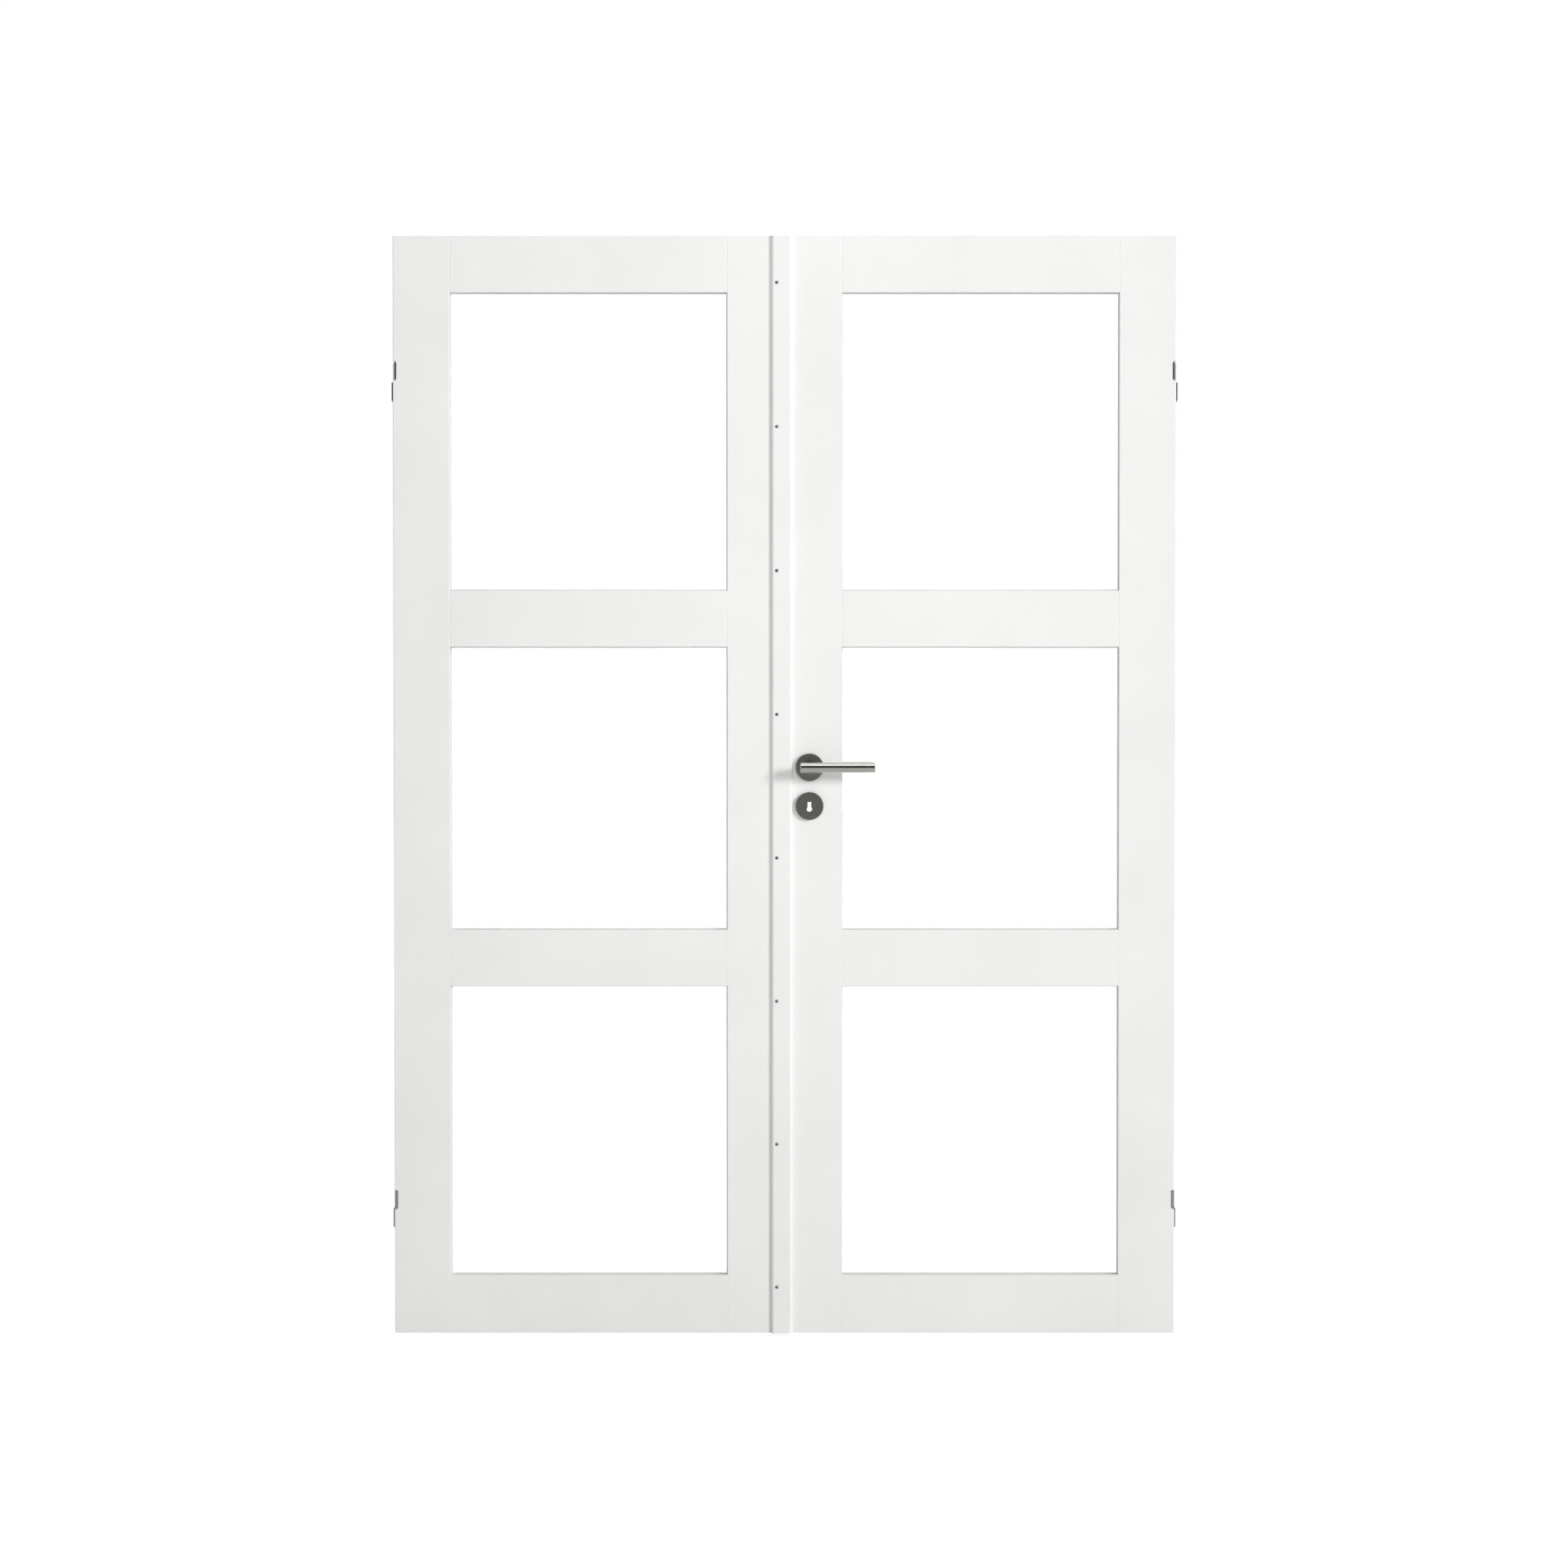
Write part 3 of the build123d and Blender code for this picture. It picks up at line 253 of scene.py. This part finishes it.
SLOT_FINISH = {
    "clear_glass": float_glass(),
    # The roses and escutcheons are the same satin stainless as the levers and plates, but drawn in
    # a darker tone: painted shade that deepens the dim reflection they show where they face the
    # camera.
    "satin_steel": satin_steel("satin_stainless_disc_painted_shade", (1.0, 1.0, 0.06), ("#8D8C8A", "#A3A29F")),
    "lock_steel": zinc_plate("zinc_plated_lock_steel", ("#A9ABAB", "#C3C4C2")),
    "plate_steel": satin_steel("satin_stainless_plate", (1.0, 1.0, 0.04)),
    "hinge_steel": satin_steel("satin_stainless_hinge", (1.0, 1.0, 0.05), ("#A7A6A2", "#BDBCB8")),
    "screw_steel": screw_steel,
    "base_plastic": moulded_plastic(),
    "washer_brass": turned_brass(),
}


def finish_for(node, slot):
    """The finish of one node: the painted wood's follows its direction, the levers have their own,
    and the others follow their slot."""
    if slot == "painted_wood":
        return level_paint if "rail" in node else upright_paint
    if node in ("front_lever", "back_lever"):
        return lever_steel
    return SLOT_FINISH[slot]


for part in frame["record"]["subparts"]:
    surface = nodes[part["node"]].data
    surface.materials.clear()
    surface.materials.append(finish_for(part["node"], part["material_slot"]))


def tree_with(name, *sizes):
    """A Geometry Nodes tree that takes points, sizes by their names and a material, and the nodes
    at its two ends."""
    tree = bpy.data.node_groups.new(name, "GeometryNodeTree")
    tree.interface.new_socket("Geometry", in_out="INPUT", socket_type="NodeSocketGeometry")
    for size in sizes:
        tree.interface.new_socket(size, in_out="INPUT", socket_type="NodeSocketFloat")
    tree.interface.new_socket("Material", in_out="INPUT", socket_type="NodeSocketMaterial")
    tree.interface.new_socket("Geometry", in_out="OUTPUT", socket_type="NodeSocketGeometry")
    return tree, add(tree, "NodeGroupInput"), add(tree, "NodeGroupOutput")


def close_tree(tree, shape, taking, leaving):
    """Ends a tree: real geometry in place of instances, with its material set."""
    real = add(tree, "GeometryNodeRealizeInstances", {"Geometry": shape})
    dressed = add(tree, "GeometryNodeSetMaterial", {
        "Geometry": real.outputs[0], "Material": taking.outputs["Material"]})
    tree.links.new(dressed.outputs[0], leaving.inputs[0])


def points(name, places, **attributes):
    """A mesh of loose points with a vector attribute or more, for a tree to work on."""
    mesh = bpy.data.meshes.new(name)
    mesh.from_pydata(places, [], [])
    for label, values in attributes.items():
        column = mesh.attributes.new(label, "FLOAT_VECTOR", "POINT")
        for place, value in enumerate(values):
            column.data[place].vector = value
    return mesh


def grown(name, tree, spots, surface, sizes):
    """Runs a Geometry Nodes tree once on a mesh of points, with its sizes set, and gives back the
    plain mesh as an object."""
    seed = bpy.data.objects.new(name + "_seed", spots)
    bpy.context.scene.collection.objects.link(seed)
    grow = seed.modifiers.new(name, "NODES")
    grow.node_group = tree
    settings = {"Material": surface, **sizes}
    for item in tree.interface.items_tree:
        if item.item_type == "SOCKET" and item.in_out == "INPUT" and item.name in settings:
            grow[item.identifier] = settings[item.name]
    graph = bpy.context.evaluated_depsgraph_get()
    mesh = bpy.data.meshes.new_from_object(seed.evaluated_get(graph), depsgraph=graph)
    made = bpy.data.objects.new(name, mesh)
    mesh.name = name
    bpy.data.objects.remove(seed)
    bpy.context.scene.collection.objects.link(made)
    mesh.materials.clear()
    mesh.materials.append(surface)
    return made


def seal_tree():
    """One run of silicone round each point, as wide and high as the point's opening says."""
    tree, taking, leaving = tree_with("glazing_seal", "Thickness")
    size = add(tree, "GeometryNodeInputNamedAttribute", {"Name": "opening"},
               data_type="FLOAT_VECTOR")
    side = add(tree, "GeometryNodeCurvePrimitiveQuadrilateral", {"Width": 1.0, "Height": 1.0})
    upright = add(tree, "GeometryNodeTransform", {
        "Geometry": side.outputs[0], "Rotation": (math.pi / 2, 0, 0)})
    placed = add(tree, "GeometryNodeInstanceOnPoints", {
        "Points": taking.outputs["Geometry"], "Instance": upright.outputs[0],
        "Scale": size.outputs[0]})
    real = add(tree, "GeometryNodeRealizeInstances", {"Geometry": placed.outputs[0]})
    radius = add(tree, "ShaderNodeMath", {0: taking.outputs["Thickness"], 1: 0.5},
                 operation="MULTIPLY")
    bead = add(tree, "GeometryNodeCurvePrimitiveCircle", {
        "Resolution": SEAL_SIDES, "Radius": radius.outputs[0]})
    run = add(tree, "GeometryNodeCurveToMesh", {
        "Curve": real.outputs[0], "Profile Curve": bead.outputs[0]})
    smooth = add(tree, "GeometryNodeSetShadeSmooth", {"Geometry": run.outputs[0]})
    close_tree(tree, smooth.outputs[0], taking, leaving)
    return tree


def openings_of(side):
    """The clear opening in front of each pane of one leaf: its middle on the glass, and the size
    of the silicone's run inside it."""
    places, sizes = [], []
    for level in ("bottom", "middle", "top"):
        low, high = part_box(f"{side}_{level}_glass")
        places.append(((low[0] + high[0]) / 2, low[1] - SEAL_RADIUS, (low[2] + high[2]) / 2))
        width, height = (high[k] - low[k] - 2 * GLASS_HELD - SEAL_THICKNESS for k in (0, 2))
        sizes.append((width, 1.0, height))
    return places, sizes


glazing_seal = seal_tree()
for side in ("active", "passive"):
    places, sizes = openings_of(side)
    seal = grown(f"{side}_glazing_seal", glazing_seal, points("openings", places, opening=sizes),
                 pale_seal, {"Thickness": SEAL_THICKNESS})
    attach(seal, f"{side}_leaf")


def screw_tree():
    """A countersunk screw with a cross recess at each point, whose head looks the way that facing
    says. The shank is a rod of length 1 that the attribute of that name draws out."""
    tree, taking, leaving = tree_with("countersunk_screw", "Head Radius", "Shank Radius",
                                      "Recess Depth")
    head_radius, shank_radius = taking.outputs["Head Radius"], taking.outputs["Shank Radius"]
    facing, shank = (add(tree, "GeometryNodeInputNamedAttribute", {"Name": label},
                         data_type="FLOAT_VECTOR").outputs[0] for label in ("facing", "shank"))
    turn = add(tree, "FunctionNodeAlignRotationToVector", {"Vector": facing}, axis="Z")
    sink = add(tree, "ShaderNodeMath", {0: head_radius, 1: shank_radius}, operation="SUBTRACT")
    drop = add(tree, "ShaderNodeMath", {0: sink.outputs[0], 1: -1.0}, operation="MULTIPLY")
    down = add(tree, "ShaderNodeCombineXYZ", {"Z": drop.outputs[0]})
    cone = add(tree, "GeometryNodeMeshCone", {
        "Vertices": HEAD_SIDES, "Radius Top": head_radius, "Radius Bottom": shank_radius,
        "Depth": sink.outputs[0]})
    flush = add(tree, "GeometryNodeTransform", {
        "Geometry": cone.outputs[0], "Translation": down.outputs[0]})
    # An arm's box has its middle in the head's face, so it is twice as deep as what it cuts.
    reach, width, depth = (
        add(tree, "ShaderNodeMath", {0: size, 1: share}, operation="MULTIPLY").outputs[0]
        for size, share in ((head_radius, RECESS_REACH), (head_radius, RECESS_WIDTH),
                            (taking.outputs["Recess Depth"], 2.0)))
    arms = []
    for across, along in ((reach, width), (width, reach)):
        size = add(tree, "ShaderNodeCombineXYZ", {"X": across, "Y": along, "Z": depth})
        arms.append(add(tree, "GeometryNodeMeshCube", {"Size": size.outputs[0]}))
    cut = add(tree, "GeometryNodeMeshBoolean", {0: flush.outputs[0]}, operation="DIFFERENCE",
              solver="EXACT")
    for arm in arms:
        tree.links.new(arm.outputs[0], cut.inputs["Mesh 2"])
    heads = add(tree, "GeometryNodeInstanceOnPoints", {
        "Points": taking.outputs["Geometry"], "Instance": cut.outputs[0],
        "Rotation": turn.outputs[0]})
    rod = add(tree, "GeometryNodeMeshCylinder", {
        "Vertices": SHANK_SIDES, "Radius": shank_radius, "Depth": 1.0})
    hung = add(tree, "GeometryNodeTransform", {
        "Geometry": rod.outputs[0], "Translation": (0, 0, -0.5)})
    below = add(tree, "ShaderNodeVectorMath", {0: facing, "Scale": drop.outputs[0]},
                operation="SCALE")
    lower = add(tree, "GeometryNodeSetPosition", {
        "Geometry": taking.outputs["Geometry"], "Offset": below.outputs[0]})
    rods = add(tree, "GeometryNodeInstanceOnPoints", {
        "Points": lower.outputs[0], "Instance": hung.outputs[0], "Rotation": turn.outputs[0],
        "Scale": shank})
    both = add(tree, "GeometryNodeJoinGeometry")
    for shape in (heads, rods):
        tree.links.new(shape.outputs[0], both.inputs[0])
    close_tree(tree, both.outputs[0], taking, leaving)
    return tree


def solids_of(node):
    """The corners of each separate solid in a CAD node, as lists of points."""
    shape = bmesh.new()
    shape.from_mesh(nodes[node].data)
    bmesh.ops.remove_doubles(shape, verts=shape.verts, dist=ONE_CORNER)
    known, found = set(), []
    for first in shape.verts:
        if first in known:
            continue
        known.add(first)
        reached, solid = [first], []
        while reached:
            corner = reached.pop()
            solid.append(corner.co.copy())
            for rib in corner.link_edges:
                other = rib.other_vert(corner)
                if other not in known:
                    known.add(other)
                    reached.append(other)
        found.append(solid)
    shape.free()
    return found


def head_of(solid):
    """Where one screw's head lies, where it faces, how long the screw is and the radius of its
    head, from its solid."""
    low = Vector([min(corner[k] for corner in solid) for k in range(3)])
    high = Vector([max(corner[k] for corner in solid) for k in range(3)])
    size = high - low
    middle = (low + high) / 2
    along = max(range(3), key=lambda k: size[k])
    # The head is at the end whose corners lie farther from the screw's middle.
    wide_at_foot, wide_at_top = (
        max((corner - middle).length for corner in solid
            if abs(corner[along] - end[along]) < ON_THE_END)
        for end in (low, high))
    head_on_top = wide_at_top > wide_at_foot
    facing, place = Vector((0, 0, 0)), middle.copy()
    facing[along] = 1.0 if head_on_top else -1.0
    place[along] = high[along] if head_on_top else low[along]
    return place, facing, size[along], size[(along + 1) % 3] / 2


countersunk_screw = screw_tree()
for node, body in (("cover_strip_screws", "passive_leaf"), ("active_leaf_screws", "active_leaf"),
                   ("passive_leaf_screws", "passive_leaf")):
    places, facings, lengths, head_radii = zip(*(head_of(solid) for solid in solids_of(node)))
    shanks = [(1, 1, length - head_radii[0] + SHANK_RADIUS) for length in lengths]
    screws = grown(node + "_crossed", countersunk_screw,
                   points("screw_places", places, facing=facings, shank=shanks), screw_steel,
                   {"Head Radius": head_radii[0], "Shank Radius": SHANK_RADIUS,
                    "Recess Depth": RECESS_DEPTH})
    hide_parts(node)
    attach(screws, body)


def pale_floor():
    """A pale matt floor that the camera sees as white, straight or through glass, apart from the
    shadow at the doors' foot."""
    made = bpy.data.materials.new("pale_floor")
    made.use_nodes = True
    tree = made.node_tree
    tree.nodes.clear()
    matt = add(tree, "ShaderNodeBsdfDiffuse", {"Color": srgb("#F2F2F1")})
    path = add(tree, "ShaderNodeLightPath")
    seen = add(tree, "ShaderNodeMath", {
        0: path.outputs["Is Camera Ray"], 1: path.outputs["Is Transmission Ray"]},
        operation="MAXIMUM")
    level = add(tree, "ShaderNodeMath", {0: seen.outputs[0], 1: FLOOR_WHITE}, operation="MULTIPLY")
    glow = add(tree, "ShaderNodeEmission", {"Strength": level.outputs[0]})
    both = add(tree, "ShaderNodeAddShader", {0: matt.outputs[0], 1: glow.outputs[0]})
    add(tree, "ShaderNodeOutputMaterial", {"Surface": both.outputs[0]})
    return made


ground = bpy.data.meshes.new("floor")
ground.from_pydata([(x * FLOOR_REACH, y * FLOOR_REACH, -FLOOR_DROP)
                    for x, y in ((-1, -1), (1, -1), (1, 1), (-1, 1))], [], [(0, 1, 2, 3)])
ground.materials.append(pale_floor())
floor = bpy.data.objects.new("floor", ground)
bpy.context.scene.collection.objects.link(floor)


def studio(front_light, back_light, behind, above, camera_side):
    """The room, whose levels are shares of plain white. The doors are lit all round, by one level
    in front and one behind. The camera sees white, straight or through glass. Metal sees a white
    room behind and above, and a dim side where the camera stands."""
    world = bpy.data.worlds.new("studio")
    world.use_nodes = True
    bpy.context.scene.world = world
    tree = world.node_tree
    tree.nodes.clear()
    path = add(tree, "ShaderNodeLightPath")
    place = add(tree, "ShaderNodeTexCoord")
    way = add(tree, "ShaderNodeSeparateXYZ", {"Vector": place.outputs["Generated"]})
    to_back, ceiling, level = (
        add(tree, "ShaderNodeMapRange", {
            "Value": way.outputs[axis], "From Min": begins, "From Max": ends,
            "To Min": low, "To Max": high}).outputs[0]
        for axis, begins, ends, low, high in (
            ("Y", DIM_ENDS, WHITE_BEGINS, camera_side, behind),
            ("Z", CEILING_BEGINS, CEILING_FULL, 0.0, above),
            ("Y", FRONT_ENDS, BACK_BEGINS, front_light, back_light)))
    mirrored = add(tree, "ShaderNodeMath", {0: to_back, 1: ceiling}, operation="MAXIMUM")
    through = add(tree, "ShaderNodeMath", {
        0: path.outputs["Is Transmission Ray"], 1: THROUGH_GLASS}, operation="MULTIPLY")
    white = add(tree, "ShaderNodeMath", {
        0: path.outputs["Is Camera Ray"], 1: through.outputs[0]}, operation="MAXIMUM")
    for_light, for_metal, for_camera = (
        add(tree, "ShaderNodeBackground", {"Color": WHITE, "Strength": strength}).outputs[0]
        for strength in (level, mirrored.outputs[0], white.outputs[0]))
    unseen = add(tree, "ShaderNodeMixShader", {
        0: path.outputs["Is Glossy Ray"], 1: for_light, 2: for_metal})
    seen = add(tree, "ShaderNodeMath", {
        0: path.outputs["Is Camera Ray"], 1: path.outputs["Is Transmission Ray"]},
        operation="MAXIMUM")
    room = add(tree, "ShaderNodeMixShader", {
        0: seen.outputs[0], 1: unseen.outputs[0], 2: for_camera})
    add(tree, "ShaderNodeOutputWorld", {"Surface": room.outputs[0]})


studio(front_light=0.155, back_light=0.75, behind=1.2, above=1.25, camera_side=0.06)


def softbox(name, place, aim, size, watts, mirrored=True):
    """A square soft lamp at a place, turned to the point that it lights. Metal mirrors it, or
    does not."""
    lamp = bpy.data.lights.new(name, "AREA")
    lamp.size = size
    lamp.energy = watts
    stand = bpy.data.objects.new(name, lamp)
    stand.location = place
    stand.rotation_euler = (Vector(aim) - Vector(place)).to_track_quat("-Z", "Y").to_euler()
    stand.visible_glossy = mirrored
    bpy.context.scene.collection.objects.link(stand)


# The key lamp is far away, to the right and high, so it lights both leaves evenly and casts the
# shadows of the strip and the lever to the left. Two small lamps near the doors lift the upper
# rails and the meeting stiles, and the top one draws the light line along the lever. The other two
# are not mirrored, so that the discs stay dark. The watts were worked out from renders with one
# lamp at a time.
softbox("key_lamp", place=(13.44, -12.54, 5.53), aim=(0, 0, 1.05), size=3.7, watts=1990,
        mirrored=False)
softbox("top_lamp", place=(0.0, -1.1, 2.9), aim=(0.05, 0, 1.75), size=0.8, watts=3.05)
softbox("front_lamp", place=(0.1, -2.2, 1.3), aim=(0.1, 0, 0.9), size=0.8, watts=8.5,
        mirrored=False)

lens = bpy.data.cameras.new("camera")
lens.sensor_width = SENSOR_MM
lens.lens = LENS_MM
lens.dof.use_dof = False
camera = bpy.data.objects.new("camera", lens)
camera.location = CAMERA_PLACE
camera.rotation_euler = (AIM - CAMERA_PLACE).to_track_quat("-Z", "Y").to_euler()
bpy.context.scene.collection.objects.link(camera)
bpy.context.scene.camera = camera
bpy.context.scene.view_settings.view_transform = "Standard"
